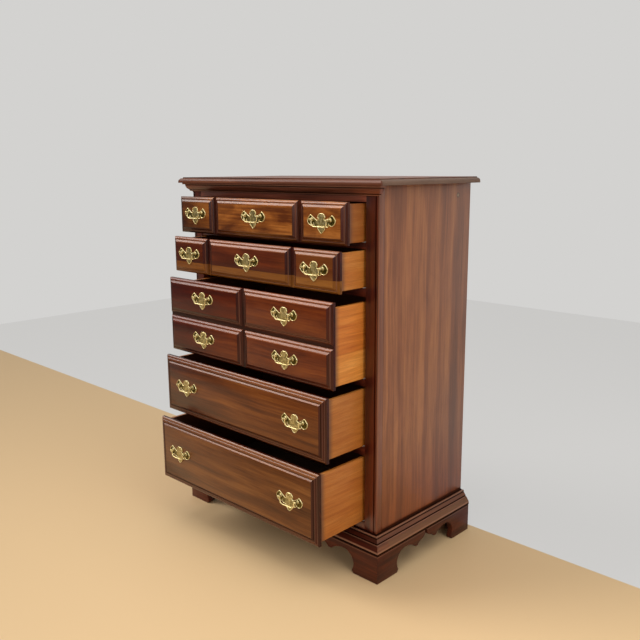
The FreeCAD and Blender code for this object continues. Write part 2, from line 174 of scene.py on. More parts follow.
def shell(name, rough, coat=0.0, coat_rough=0.3, specular=0.5):
    """Material with an empty principled surface; gives the tree and its shader."""
    made = bpy.data.materials.new(name)
    made.use_nodes = True
    surface = made.node_tree.nodes["Principled BSDF"]
    for socket, value in (("Roughness", rough), ("Coat Weight", coat), ("Coat Roughness", coat_rough),
                          ("Specular IOR Level", specular)):
        surface.inputs[socket].default_value = value
    return made, made.node_tree, surface


def timber(tree, axis, tones, figure, stripe, stripe_share, shift=0.0, contrast=0.11):
    """Colour and height of planed wood: broad figure, ribbon stripe, streaks, fine hairs and pores.
    figure and stripe are features per metre along and across the grain."""
    where = grain_space(tree, axis)
    wander = add(tree, "TexNoise", where, None, 2.2, 2.0)
    sway = add(tree, "VectorMath", wander.outputs[1], (0.5, 0.5, 0.5), operation="SUBTRACT")
    sway = add(tree, "VectorMath", sway.outputs[0], operation="SCALE")
    sway.inputs["Scale"].default_value = 0.03
    bent = add(tree, "VectorMath", where, sway.outputs[0], operation="ADD").outputs[0]
    broad = fibres(tree, bent, *figure, 4.0, 0.55, 0.6, shift)
    lines = fibres(tree, bent, *stripe, 2.0, 0.5, 0.0, shift + 7.0)
    streaks = fibres(tree, bent, 3.5, 120.0, 3.0, 0.6, 0.0, shift + 3.0)
    both = sums(tree, "ADD", times(tree, broad, (1 - streak_share) * (1 - stripe_share)),
                times(tree, lines, (1 - streak_share) * stripe_share))
    both = sums(tree, "ADD", both, times(tree, streaks, streak_share))
    dark, middle, light = [tint(tone) for tone in tones]
    colour = ramp(tree, both, (0.5 - contrast, dark), (0.5, middle), (0.5 + contrast, light))
    hairs = fibres(tree, bent, 9.0, 420.0, 3.0, 0.65, 0.0, shift)
    hair_tone = ramp(tree, hairs, (0.3, (0.62, 0.6, 0.58, 1)), (0.7, 1.12))
    colour = mixed(tree, "MULTIPLY", 0.55, colour, hair_tone)
    pores = fibres(tree, bent, 60.0, 1500.0, 1.0, 0.5, 0.0, shift)
    pits = ramp(tree, pores, (0.27, 1), (0.36, 0))
    pit_tone = [c * 0.45 for c in dark[:3]] + [1]
    colour = mixed(tree, "MIX", times(tree, pits, 0.45), colour, pit_tone)
    return colour, sums(tree, "SUBTRACT", times(tree, hairs, 0.35), pits)


def finished(tree, surface, colour, height, depth=0.0002, strength=0.35):
    """Gives a surface its colour, and its relief in metres under a coat that stays nearly level."""
    tree.links.new(colour, surface.inputs["Base Color"])
    bump = add(tree, "Bump", strength, depth)
    tree.links.new(height, bump.inputs["Height"])
    tree.links.new(bump.outputs[0], surface.inputs["Normal"])


def matt(tree, surface, amount):
    """Takes the shine off where amount is 1, as glaze and dark bands have no lacquer over them, and painted
    shade should not shine.
    """
    kept = sums(tree, "SUBTRACT", 1.0, times(tree, amount, 0.92))
    for name in ("Coat Weight", "Specular IOR Level"):
        tree.links.new(times(tree, kept, surface.inputs[name].default_value), surface.inputs[name])


def position(tree):
    """X, Y and Z on the object."""
    return add(tree, "SeparateXYZ", add(tree, "TexCoord").outputs["Object"]).outputs


def off_middle(tree):
    """Distance to either side of the chest's middle."""
    return sums(tree, "ABSOLUTE", position(tree)[0])


def mapped(tree, value, low, high, start=0.0, end=1.0, **settings):
    """Start where the value is under low, end where it is over high, and even between."""
    return add(tree, "MapRange", value, low, high, start, end, **settings).outputs[0]


def above(tree, axis, low, high):
    """0 below low, 1 above high along an object axis, smooth between."""
    return mapped(tree, position(tree)["XYZ".index(axis)], low, high, interpolation_type="SMOOTHSTEP")


def below(tree, axis, low, high):
    """1 below low, 0 above high along an object axis, smooth between."""
    return sums(tree, "SUBTRACT", 1.0, above(tree, axis, low, high))


def side_veneer():
    made, tree, surface = shell("side_veneer", rough=0.42, coat=0.3, coat_rough=0.24)
    colour, height = timber(tree, "Z", side_tones, **side_grain)
    clouds = fibres(tree, grain_space(tree, "Z"), 9.0, 22.0, 3.0, 0.5, 1.0, 3.0)
    cloud_tone = ramp(tree, clouds, (0.3, (0.86, 0.84, 0.82, 1)), (0.7, 1.1))
    colour = mixed(tree, "MULTIPLY", 0.5, colour, cloud_tone)
    # Painted reflection: the side is made more orange towards the floor, as the floor mirrored in it.
    colour = wash(tree, colour, below(tree, "Z", *floor_reflection_heights), 0.7, floor_reflection_tone, "MULTIPLY")
    # A darker band just above the base moulding, and a dark joint line behind the stiles.
    base_band = below(tree, "Z", base_top + 0.4 * base_band_height, base_top + 1.2 * base_band_height)
    joint = below(tree, "Y", stile_back + 0.0008, stile_back + 0.002)
    dark = sums(tree, "MAXIMUM", times(tree, base_band, 0.85), times(tree, joint, 0.55))
    colour = wash(tree, colour, dark, 1.0, base_band_tone)
    spot = position(tree)
    off = add(tree, "CombineXYZ", 0.0, sums(tree, "SUBTRACT", spot[1], case_face + plug_back),
              sums(tree, "SUBTRACT", spot[2], plug_height)).outputs[0]
    away = add(tree, "VectorMath", off, operation="LENGTH").outputs["Value"]
    away = sums(tree, "DIVIDE", away, plug_radius)
    plug = ramp(tree, away, (0.5, 1), (0.65, 0))
    ring = ramp(tree, away, (0.5, 0), (0.7, 1), (0.85, 1), (1.0, 0))
    right = above(tree, "X", 0.1, 0.2)
    colour = wash(tree, colour, times(tree, plug, right), 1.0, "#8a7355")
    colour = wash(tree, colour, times(tree, ring, right), 0.75, "#33241a")
    matt(tree, surface, dark)
    finished(tree, surface, colour, height)
    return made


def break_edges(body, arris, angle, segments=2, profile=0.0, front=-math.inf):
    """Takes off the edges that are sharper than the angle and lie wholly behind the front."""
    sharp = [e for e in body.edges if len(e.link_faces) == 2 and e.calc_face_angle() > math.radians(angle)
             and all(v.co.y > front for v in e.verts)]
    bmesh.ops.bevel(body, geom=sharp, offset=arris, segments=segments, profile=profile, affect="EDGES",
                    clamp_overlap=True)


def made_up(name, body):
    """Mesh of a finished body."""
    mesh = bpy.data.meshes.new(name)
    body.to_mesh(mesh)
    body.free()
    return mesh


def placed(name, data):
    """Object for a mesh, lamp or camera, in the scene."""
    made = bpy.data.objects.new(name, data)
    bpy.context.scene.collection.objects.link(made)
    return made


def settled(name, mesh, material, body, node):
    """Object for a finished mesh, shaded, riding on its body and standing for its CAD node."""
    mesh.materials.clear()
    mesh.materials.append(material)
    mesh.shade_smooth()
    mesh.set_sharp_from_angle(angle=math.radians(crease_angle))
    piece = placed(name, mesh)
    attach(piece, body)
    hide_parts(node)


def eased(node, material, arris):
    """The CAD piece with its sharp edges rounded over; it stands in for the node."""
    body = bmesh.new()
    body.from_mesh(frame["nodes"][node].data)
    bmesh.ops.remove_doubles(body, verts=body.verts, dist=1e-5)
    bmesh.ops.dissolve_limit(body, angle_limit=math.radians(0.5), verts=body.verts, edges=body.edges)
    break_edges(body, arris, board_angle, profile=0.6)
    bmesh.ops.triangulate(body, faces=[f for f in body.faces if len(f.verts) > 4])
    name = node + "_eased"
    settled(name, made_up(name, body), material, frame["nodes"][node]["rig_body"], node)


side_finish = side_veneer()
for hand in ("left", "right"):
    eased("side_panel_" + hand, side_finish, side_arris)

# ---- Face frame ----
# Solid stiles and rails, stained darker than the fronts, with a redder, paler top rail.  The stiles
# carry a stopped quirk and a rounded corner, and their outer edges are toned to go with the
# veneered sides behind them.
# The quirk is darkened as painted shade.

frame_tones = ("#340f06", "#521d0c", "#6e2b12")
top_rail_tones = ("#5a2a1b", "#80422e", "#97553f")
frame_arris = 0.0009
quirk_out = 0.0125           # the quirk's inner side, from the outer corner
quirk_wide = 0.0035
case_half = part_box("side_panel_right")[1].x


def frame_wood(name, axis, tones=frame_tones):
    made, tree, surface = shell(name, rough=0.34, coat=0.4, coat_rough=0.18)
    colour, height = timber(tree, axis, tones, (1.5, 22.0), (0.6, 40.0), 0.35)
    if axis == "Z":
        paler_toned = timber(tree, axis, side_tones, **side_grain)[0]
        paler_toned = wash(tree, paler_toned, 1.0, 1.0, "#ead8c8", "MULTIPLY")
        # The stiles' outer faces take the same painted floor reflection low down.
        paler_toned = wash(tree, paler_toned, below(tree, "Z", *floor_reflection_heights), 0.7, floor_reflection_tone, "MULTIPLY")
        spread = off_middle(tree)
        outer = mapped(tree, spread, case_half - 0.0016, case_half - 0.0004)
        colour = mixed(tree, "MIX", outer, colour, paler_toned)
        # Painted shade: the quirk is darkened as if in its own shadow.
        off = sums(tree, "SUBTRACT", spread, case_half - quirk_out + quirk_wide / 2)
        off = sums(tree, "ABSOLUTE", off)
        quirk_shade = mapped(tree, off, quirk_wide / 2, quirk_wide / 2 + 0.0006, 1.0, 0.0)
        colour = wash(tree, colour, quirk_shade, 0.8, "#240804")
        matt(tree, surface, quirk_shade)
    finished(tree, surface, colour, height)
    return made


stile_wood = frame_wood("stile_wood", "Z")
rail_wood = frame_wood("rail_wood", "X")
upper_rail_wood = frame_wood("upper_rail_wood", "X", top_rail_tones)
for hand in ("left", "right"):
    eased("stile_" + hand, stile_wood, frame_arris)
eased("top_rail", upper_rail_wood, frame_arris)
for rail in ("divider_rails", "bottom_rail"):
    eased(rail, rail_wood, frame_arris)

# ---- Inside the case ----
# Bare secondary wood: runners and guides; foot blocks and rear brackets dark as painted shade under
# the case; plywood back and dust board; small pale nylon buttons on the rails that the drawer sides
# slide over.

bare_tones = ("#7d5a3a", "#9c7650", "#b38d63")
ply_tones = ("#8a6440", "#a57c52", "#bd9568")
# painted shade: the foot blocks and rear brackets are dark as the shade under the case
under_case_shade_tones = ("#27160d", "#342014", "#442b1c")
nylon_tone = "#f4f2ea"
runner_arris = 0.0008
block_arris = 0.001
ply_arris = 0.0004
glide_arris = 0.0005


def bare_wood(name, axis, tones):
    made, tree, surface = shell(name, rough=0.75)
    colour, height = timber(tree, axis, tones, (1.5, 16.0), (0.8, 50.0), 0.3, shift=3.0)
    finished(tree, surface, colour, height, depth=0.0003, strength=0.5)
    return made


def nylon():
    made, tree, surface = shell("nylon", rough=0.45)
    scuffs = fibres(tree, grain_space(tree, "X"), 300.0, 300.0)
    scuff_tone = ramp(tree, scuffs, (0.3, (0.7, 0.68, 0.62, 1)), (0.6, 1))
    colour = mixed(tree, "MULTIPLY", 0.4, tint(nylon_tone), scuff_tone)
    tree.links.new(colour, surface.inputs["Base Color"])
    surface.inputs["Subsurface Weight"].default_value = 0.15
    surface.inputs["Subsurface Radius"].default_value = (0.002, 0.002, 0.0016)
    return made


runner_wood = bare_wood("runner_wood", "Y", bare_tones)
block_wood = bare_wood("block_wood", "Z", under_case_shade_tones)
rear_wood = bare_wood("rear_bracket_wood", "X", under_case_shade_tones)
ply = bare_wood("plywood", "X", ply_tones)
for node in ("runner_frames", "drawer_guides"):
    eased(node, runner_wood, runner_arris)
eased("foot_blocks", block_wood, block_arris)
eased("rear_brackets", rear_wood, block_arris)
for node in ("back_panel", "bottom_board"):
    eased(node, ply, ply_arris)
eased("rail_glides", nylon(), glide_arris)

# ---- Base moulding and cornice ----
# Solid mouldings glued round the case: a cove, bead, ogee and ovolo at the foot, mitred at the front
# corners, and a bed moulding under the front of the top whose mitred ends turn back to the frame.
# Dark glaze lies in the hollows and also stands for painted shade there, with a painted shadow along
# the base's lower flat and under the top; the arrises are rubbed light, partly a painted highlight;
# the sides' lower part is worn, and the side mouldings are lighter than the front as a painted sheen.

base_low, base_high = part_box("base_moulding_front")
base_side_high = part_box("base_moulding_sides")[1]
cornice_low, cornice_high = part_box("cornice_moulding")
moulding_arris = 0.0005
moulding_angle = 38          # the fillets and ends that are sharper than this have an arris
# The side mouldings' tones are lighter than the front's: a painted sheen of the light from the right.
front_moulding_tones = ("#2c0e07", "#47190d", "#5c2415")
side_moulding_sheen_tones = ("#47240f", "#63351a", "#7a4727")
cornice_tones = ("#4c2415", "#6e3a26", "#88503a")


def arc(start, middle, end, count):
    """Points after start on the circle through three points."""
    (ax, ay), (bx, by), (cx, cy) = start, middle, end
    a, b, c = ax * ax + ay * ay, bx * bx + by * by, cx * cx + cy * cy
    d = 2 * (ax * (by - cy) + bx * (cy - ay) + cx * (ay - by))
    ux = (a * (by - cy) + b * (cy - ay) + c * (ay - by)) / d
    uy = (a * (cx - bx) + b * (ax - cx) + c * (bx - ax)) / d
    radius = math.hypot(ax - ux, ay - uy)
    a0, a1, a2 = [math.atan2(y - uy, x - ux) for x, y in (start, middle, end)]
    turn = (a2 - a0) % math.tau
    if (a1 - a0) % math.tau > turn:
        turn -= math.tau
    angles = [a0 + turn * k / count for k in range(1, count + 1)]
    return [(ux + radius * math.cos(angle), uy + radius * math.sin(angle)) for angle in angles]


def drawn(start, *steps, wide=1.0, tall=1.0, foot=0.0, count=7):
    """Points of an outline given in shares of its width, and of its height above its foot.  A step
    is a point, or a pair (point passed, point reached) for an arc."""
    def sized(point):
        return point[0] * wide, foot + point[1] * tall

    points = [sized(start)]
    for step in steps:
        if isinstance(step[0], tuple):
            points += arc(points[-1], sized(step[0]), sized(step[1]), count)
        else:
            points.append(sized(step))
    return points


def closed(body):
    """Joins the corners that meet and turns every face outwards."""
    bmesh.ops.remove_doubles(body, verts=body.verts, dist=1e-6)
    bmesh.ops.recalc_face_normals(body, faces=body.faces)


def skinned(body, rings):
    """Faces from ring to ring."""
    for ring, following in zip(rings, rings[1:]):
        for k in range(len(ring)):
            n = (k + 1) % len(ring)
            body.faces.new((ring[k], ring[n], following[n], following[k]))


def run_moulding(name, runs, outline, glazed_and_shaded, rubbed_and_lit, wide, tall, foot):
    """Sweeps an outline along runs of corners (x, y, outward x, outward y).  The two lists of spans give,
    in the same shares of the outline, where it is dark with glaze and painted shade, and where it is
    rubbed light and painted highlight."""
    def within(reach, z, spans):
        return float(any(a * wide <= reach <= b * wide and foot + c * tall <= z <= foot + d * tall
                         for a, b, c, d in spans))

    whole = bmesh.new()
    profile = drawn(*outline, wide=wide, tall=tall, foot=foot)
    for corners in runs:
        body = bmesh.new()
        dark = body.verts.layers.float.new("glaze_and_shade")
        light = body.verts.layers.float.new("rub")
        rings = []
        for x, y, dx, dy in corners:
            ring = [body.verts.new((x + dx * reach, y + dy * reach, z)) for reach, z in profile]
            for vert, (reach, z) in zip(ring, profile):
                vert[dark] = within(reach, z, glazed_and_shaded)
                vert[light] = within(reach, z, rubbed_and_lit)
            rings.append(ring)
        skinned(body, rings)
        body.faces.new(rings[0])
        body.faces.new(reversed(rings[-1]))
        closed(body)
        break_edges(body, moulding_arris, moulding_angle)
        bmesh.ops.triangulate(body, faces=[f for f in body.faces if len(f.verts) > 4])
        whole.from_mesh(made_up("run", body))
    return made_up(name, whole)


def painted(tree, name):
    """The value that the mesh carries under a name."""
    return add(tree, "Attribute", attribute_name=name).outputs["Fac"]


def moulding_wood(name, axis, tones, worn=False):
    made, tree, surface = shell(name, rough=0.33, coat=0.35, coat_rough=0.18, specular=0.2)
    colour, height = timber(tree, axis, tones, (1.4, 22.0), (0.7, 45.0), 0.35, shift=2.0)
    if worn:
        rub = fibres(tree, grain_space(tree, axis), 40.0, 160.0, 4.0, 0.65, 0.0, 5.0)
        low = times(tree, below(tree, "Z", base_low.z + 0.024, base_low.z + 0.028),
                    above(tree, "Y", case_face + 0.02, case_face + 0.03))
        patch = times(tree, low, ramp(tree, rub, (0.3, 0.3), (0.7, 0.9)))
        colour = wash(tree, colour, patch, 1.0, "#6e4828")
    # Dark glaze in the hollows, partly painted shade; the rubbed arrises are lighter, partly a painted
    # highlight.
    glaze_and_shade = painted(tree, "glaze_and_shade")
    colour = wash(tree, colour, painted(tree, "rub"), 0.55, "#a5755a")
    colour = wash(tree, colour, glaze_and_shade, 0.9, "#140603")
    matt(tree, surface, glaze_and_shade)
    finished(tree, surface, colour, height)
    return made


# The glazed spans also paint the shade in the cove at the top and a painted shadow along the lower flat;
# the rubbed spans are partly painted highlights on the arrises.
base_shape = dict(
    outline=((0, 0), (0.96, 0), (1, 0.03), (1, 0.13), (1, 0.15), (1, 0.22), ((0.91, 0.33), (0.66, 0.56)),
             (0.61, 0.56), (0.60, 0.62), ((0.47, 0.75), (0.38, 0.83)), (0.35, 0.86),
             ((0.38, 0.93), (0.28, 0.955)), (0.20, 0.955), (0.19, 0.95), ((0.07, 0.965), (0, 1))),
    glazed_and_shaded=((0.59, 0.615, 0.55, 0.63), (0.34, 0.39, 0.82, 0.88), (-0.01, 0.195, 0.9, 1.01),
            (0.9, 1.01, -0.01, 0.14)),
    rubbed_and_lit=((0.27, 0.38, 0.90, 0.96), (0.97, 1.01, 0.145, 0.24), (0.64, 0.68, 0.54, 0.57)),
    wide=case_face - base_low.y, tall=base_high.z - base_low.z, foot=base_low.z)
front_moulding_wood = moulding_wood("front_moulding_wood", "X", front_moulding_tones)
side_moulding_wood = moulding_wood("side_moulding_wood", "Y", side_moulding_sheen_tones, worn=True)
front_run = [(-case_half, case_face, -1, -1), (case_half, case_face, 1, -1)]
side_runs = [[(side * case_half, case_face, side, -1), (side * case_half, base_side_high.y, side, 0)]
             for side in (-1, 1)]
settled("base_front", run_moulding("base_front", [front_run], **base_shape), front_moulding_wood, "case",
        "base_moulding_front")
settled("base_sides", run_moulding("base_sides", side_runs, **base_shape), side_moulding_wood, "case",
        "base_moulding_sides")

# The first glazed span of the cornice is a painted shadow under the top's overhang.
cornice_shape = dict(
    outline=((0, 0), (1, 0), (1, 0.18), (0.75, 0.18), (0.73, 0.24), ((0.61, 0.57), (0.36, 0.80)),
             (0.32, 0.80), (0.30, 0.86), ((0.25, 0.95), (0.10, 0.98)), (0, 1)),
    glazed_and_shaded=((0.7, 0.8, 0.3, 0.15), (0.29, 0.34, 0.88, 0.78)),
    rubbed_and_lit=((0.99, 1.01, 0.2, 0.1), (0.2, 0.28, 0.97, 0.9)),
    wide=case_face - cornice_low.y, tall=cornice_low.z - cornice_high.z, foot=cornice_high.z)
cornice_run = [(-case_half, cornice_high.y, -1, 0), *front_run, (case_half, cornice_high.y, 1, 0)]
settled("cornice", run_moulding("cornice", [cornice_run], **cornice_shape),
        moulding_wood("cornice_wood", "X", cornice_tones), "case", "cornice_moulding")

# ---- Bracket feet ----
# Sawn ogee brackets, mitred at the front corners and glued under the base moulding, in dark stained
# solid wood.  Their arrises are scuffed; a dark band along their top is a painted shadow under the
# moulding, with a painted highlight along the top arris just below it.

foot_tones = ("#32120a", "#4e200f", "#642c17")
foot_arris = 0.0012


def band(tree, low, high, blur=0.0004):
    """1 between two heights, 0 outside."""
    return times(tree, above(tree, "Z", low - blur, low + blur),
                 below(tree, "Z", high - blur, high + blur))


def foot_wood(name, axis):
    made, tree, surface = shell(name, rough=0.45, coat=0.2, coat_rough=0.3, specular=0.15)
    colour, height = timber(tree, axis, foot_tones, (1.6, 20.0), (0.8, 45.0), 0.3, shift=4.0)
    scuff = fibres(tree, grain_space(tree, axis), 30.0, 60.0, 5.0, 0.7, 0.0, 1.0)
    colour = wash(tree, colour, ramp(tree, scuff, (0.62, 0), (0.75, 0.35)), 1.0, "#7b4c30")
    # Painted shadow along the bracket's top under the moulding, and a painted highlight just below it.
    moulding_shadow = band(tree, base_low.z - 0.0015, base_low.z + 0.01)
    rubbed_and_lit = band(tree, base_low.z - 0.006, base_low.z - 0.002)
    colour = wash(tree, colour, moulding_shadow, 0.8, "#240d06")
    colour = wash(tree, colour, rubbed_and_lit, 0.4, "#8a5a44")
    matt(tree, surface, moulding_shadow)
    finished(tree, surface, colour, height, depth=0.0003)
    return made


eased("front_brackets", foot_wood("front_foot_wood", "X"), foot_arris)
eased("side_brackets", foot_wood("side_foot_wood", "Y"), foot_arris)

# ---- Top ----
# Veneered slab with a solid edge: a fillet over an ovolo on the front and both ends, square at the
# back, with a soft sheen.  The end edges are painted a greyer brown, a painted sheen of the pale wall.

slab_low, slab_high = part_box("top_board")
slab_edge = 0.013            # the moulded edge, in from the outside
slab_step = 0.0035           # its fillet, down from the upper face
slab_lip = 0.003             # its flat, up from the lower face
slab_arris = 0.0007
slab_tones = ("#432212", "#673823", "#824f35")
slab_end_sheen_tones = ("#5c4638", "#745a4a", "#8a6e5c")
slab_grain = dict(figure=(1.0, 12.0), stripe=(0.5, 30.0), stripe_share=0.35, shift=6.0)


def solid(body, rings):
    """Faces from ring to ring, and one over each end; gives the two end faces."""
    skinned(body, rings)
    return [body.faces.new(reversed(rings[0])), body.faces.new(rings[-1])]


def slab_mesh():
    curve = 0.83 * slab_edge
    shoulder = slab_high.z - slab_step
    start = slab_low.z + slab_lip
    rise = shoulder - start
    outline = drawn((0, slab_low.z), (0, start), ((0.29 * curve, start + 0.71 * rise), (curve, shoulder)),
                    (slab_edge, shoulder), (slab_edge, slab_high.z))
    body = bmesh.new()
    rings = []
    for inset, z in outline:
        x = slab_high.x - inset
        y = slab_low.y + inset
        corners = ((-x, slab_high.y), (-x, y), (x, y), (x, slab_high.y))
        rings.append([body.verts.new((*corner, z)) for corner in corners])
    solid(body, rings)
    closed(body)
    break_edges(body, slab_arris, moulding_angle, segments=3)
    return made_up("slab", body)


def slab_wood():
    made, tree, surface = shell("slab_wood", rough=0.45, coat=0.2, coat_rough=0.28, specular=0.15)
    colour, height = timber(tree, "X", slab_tones, **slab_grain)
    paler_toned = timber(tree, "Y", slab_end_sheen_tones, **slab_grain)[0]
    # Painted sheen: the end edges take the greyer tones.
    inner = slab_high.x - slab_edge
    ends = times(tree, mapped(tree, off_middle(tree), inner - 0.0005, inner + 0.001),
                 above(tree, "Y", slab_low.y + 0.004, slab_low.y + 0.012))
    finished(tree, surface, mixed(tree, "MIX", ends, colour, paler_toned), height)
    return made


settled("slab", slab_mesh(), slab_wood(), "case", "top_board")

# ---- Drawer boxes ----
# Golden secondary hardwood, grain running back, thinly lacquered; plywood bottoms in grooves.  The
# boards differ in tone from drawer to drawer, partly their own tone and partly painted light: the top
# drawer's sides are darker as a painted shadow under the top, and the third drawer's lower boards
# lighter as a painted reflection.  The insides, backs and bottoms are darkened as painted shade, and
# the fronts' dark stain runs a little way back over the sides.

box_tones = ("#c0691f", "#e0923c", "#f4b05c")
# the drawer bottoms are dark as painted shade
box_bottom_shade_tones = ("#3c2615", "#4d331e", "#5c3f27")
box_inner = 0.3785           # inner face of the sides, from the middle
inside_shade_tone = "#6b5448"
box_arris = 0.0012
bottom_arris = 0.0003
stain_tone = "#583a2e"
stain_start = 0.01           # the fronts' stain fades out between these, behind the front
stain_reach = 0.036
shade_rise = 1.3             # height that the boards' shades are spread over
# each drawer's board tone from this height up: partly own tone, partly painted light (the top drawer's
# darker as a painted shadow under the top, the third drawer's lower boards lighter as a painted reflection)
board_tones_and_light = [(0.0, "#cfbfb0"), (0.42, "#cdc0b4"), (0.64, "#ffffff"), (0.745, "#f0dcc4"),
                (0.92, "#ddd4cc"), (1.07, "#b4a290")]


def box_wood(name, axis, board_start=None):
    """Wood of the sides behind a front that ends at board_start; without it, of the backs, darkened all
    over as painted shade.
    """
    made, tree, surface = shell(name, rough=0.5, coat=0.1, coat_rough=0.3)
    colour, height = timber(tree, axis, box_tones, (5.0, 22.0), (4.0, 80.0), 0.5, shift=8.0, contrast=0.2)
    level = sums(tree, "DIVIDE", position(tree)[2], shade_rise)
    board_tone_and_light = ramp(tree, level, *[(z / shade_rise, tint(tone)) for z, tone in board_tones_and_light])
    board_tone_and_light.node.color_ramp.interpolation = "CONSTANT"
    colour = mixed(tree, "MULTIPLY", 1.0, colour, board_tone_and_light)
    # Painted shade: the backs darken all over, the sides on their inner faces.
    if board_start is None:
        colour = wash(tree, colour, 1.0, 1.0, inside_shade_tone, "MULTIPLY")
    else:
        inside_shade = mapped(tree, off_middle(tree), box_inner + 0.0006, box_inner + 0.0018, 1.0, 0.0)
        colour = wash(tree, colour, inside_shade, 1.0, inside_shade_tone, "MULTIPLY")
        stain = below(tree, "Y", board_start + stain_start, board_start + stain_reach)
        colour = wash(tree, colour, stain, 0.8, stain_tone)
    finished(tree, surface, colour, height, depth=0.0003)
    return made


box_back_wood = box_wood("box_back_wood", "X")
box_bottom_ply = bare_wood("box_bottom_ply", "X", box_bottom_shade_tones)
for number in range(1, 6):
    drawer = "drawer_%d" % number
    board_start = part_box(drawer + "_front")[1].y
    eased(drawer + "_sides", box_wood("box_side_wood_%d" % number, "Y", board_start), box_arris)
    eased(drawer + "_back", box_back_wood, box_arris)
    eased(drawer + "_bottom", box_bottom_ply, bottom_arris)

# ---- Drawer fronts ----
# Lipped boards with raised, moulded-edge blocks.  Fields are veneered with figured cherry, matched
# across each front; the mouldings are solid, mitred at the corners, with dark glaze in their quirks and
# channels that is also painted shade.  The upright and lower strips are darker, partly the solid wood's
# tone and partly painted shade; the upper strips are lighter as a painted highlight, and the left ends
# darker as painted shade.  A golden band low along the second front is a painted reflection.

lip = 0.009                  # thickness of the board under the blocks
channel = 0.012              # between two blocks
split = 0.207                # middles of the channels of the upper fronts, from the middle
narrow_edge = 0.0195
wide_edge = 0.026
front_arris = 0.0006
front_angle = 60             # outer edges that are sharper than this have an arris
front_tones = [("#5a2b0c", "#874c1b", "#ab6a2d"), ("#3e1506", "#58230d", "#713214"),
               ("#481604", "#682c0b", "#803e12"), ("#4c250b", "#6c3914", "#885020"),
               ("#4a260c", "#693b16", "#835124")]
front_figures = [(6.0, 16.0), (2.5, 16.0), (3.0, 18.0), (2.0, 22.0), (2.0, 20.0)]
front_contrasts = [0.09, 0.13, 0.13, 0.13, 0.13]
edge_tones = ("#240807", "#360e0a", "#48160f")
# how much each front's upper strips are lightened, a painted highlight
upper_highlight = [0.15, 0.4, 0.35, 0.2, 0.2]
left_shades = ["#a49c98", "#ece0c8", "#b87c50", "#cca860", "#e4d09c"]     # painted shade, laid over the left ends
left_ends = [-0.1, 0.1, 0.15, 0.05, 0.05]                                 # where that shade runs out
reflection_band_tones = ("#73420e", "#8d561b", "#a66b26")
reflection_band_share = 0.31            # height of the painted reflection band, of the second front's


def front_blocks(number, low, high):
    """(x0, x1, z0, z1) of each raised block."""
    half = channel / 2
    if number <= 2:
        across = [(low.x, -split - half), (-split + half, split - half), (split + half, high.x)]
        return [(a, b, low.z, high.z) for a, b in across]
    if number == 3:
        middle = (low.z + high.z) / 2
        across = [(low.x, -half), (half, high.x)]
        rows = [(middle + half, high.z), (low.z, middle - half)]
        return [(a, b, c, d) for c, d in rows for a, b in across]
    return [(low.x, high.x, low.z, high.z)]


def edge_profile(number, height):
    """Block edge as (inset, height, glaze and painted shade, rub and painted highlight) points: quarter
    round, quirk, ogee, up to the field.
    """
    if number <= 3:
        wide = narrow_edge
        outline = ((0, 0.06), ((0.17, 0.36), (0.38, 0.58)), (0.42, 0.60), (0.44, 0.42), (0.49, 0.42),
                   (0.51, 0.53), (0.54, 0.55), ((0.70, 0.72), (0.84, 0.87)), ((0.92, 0.955), (1, 1)))
        # Glazed spans darken the quirks, partly as painted shade; rubbed spans lighten the arrises, partly
        # as painted highlight.
        glazed_and_shaded = [(0.43, 0.50)]
        rubbed_and_lit = [(0.375, 0.425), (0.505, 0.545)]
    else:
        wide = wide_edge
        outline = ((0, 0.05), ((0.08, 0.23), (0.18, 0.37)), (0.31, 0.38), (0.325, 0.28), (0.355, 0.28),
                   (0.36, 0.42), ((0.42, 0.53), (0.48, 0.61)), (0.57, 0.63), (0.58, 0.54), (0.60, 0.54),
                   (0.61, 0.62), (0.79, 0.64), ((0.89, 0.82), (1, 1)))
        glazed_and_shaded = [(0.32, 0.358), (0.575, 0.605), (0.785, 0.795)]
        rubbed_and_lit = [(0.30, 0.315), (0.56, 0.575)]

    def within(inset, spans):
        return float(any(a * wide < inset < b * wide for a, b in spans))

    return [(inset, rise, within(inset, glazed_and_shaded), within(inset, rubbed_and_lit))
            for inset, rise in drawn(*outline, wide=wide, tall=height)]


def block_loop(block, inset, y):
    """The four corners of a block, moved in by the inset."""
    x0, x1, z0, z1 = block
    return [(x0 + inset, y, z0 + inset), (x1 - inset, y, z0 + inset), (x1 - inset, y, z1 - inset),
            (x0 + inset, y, z1 - inset)]


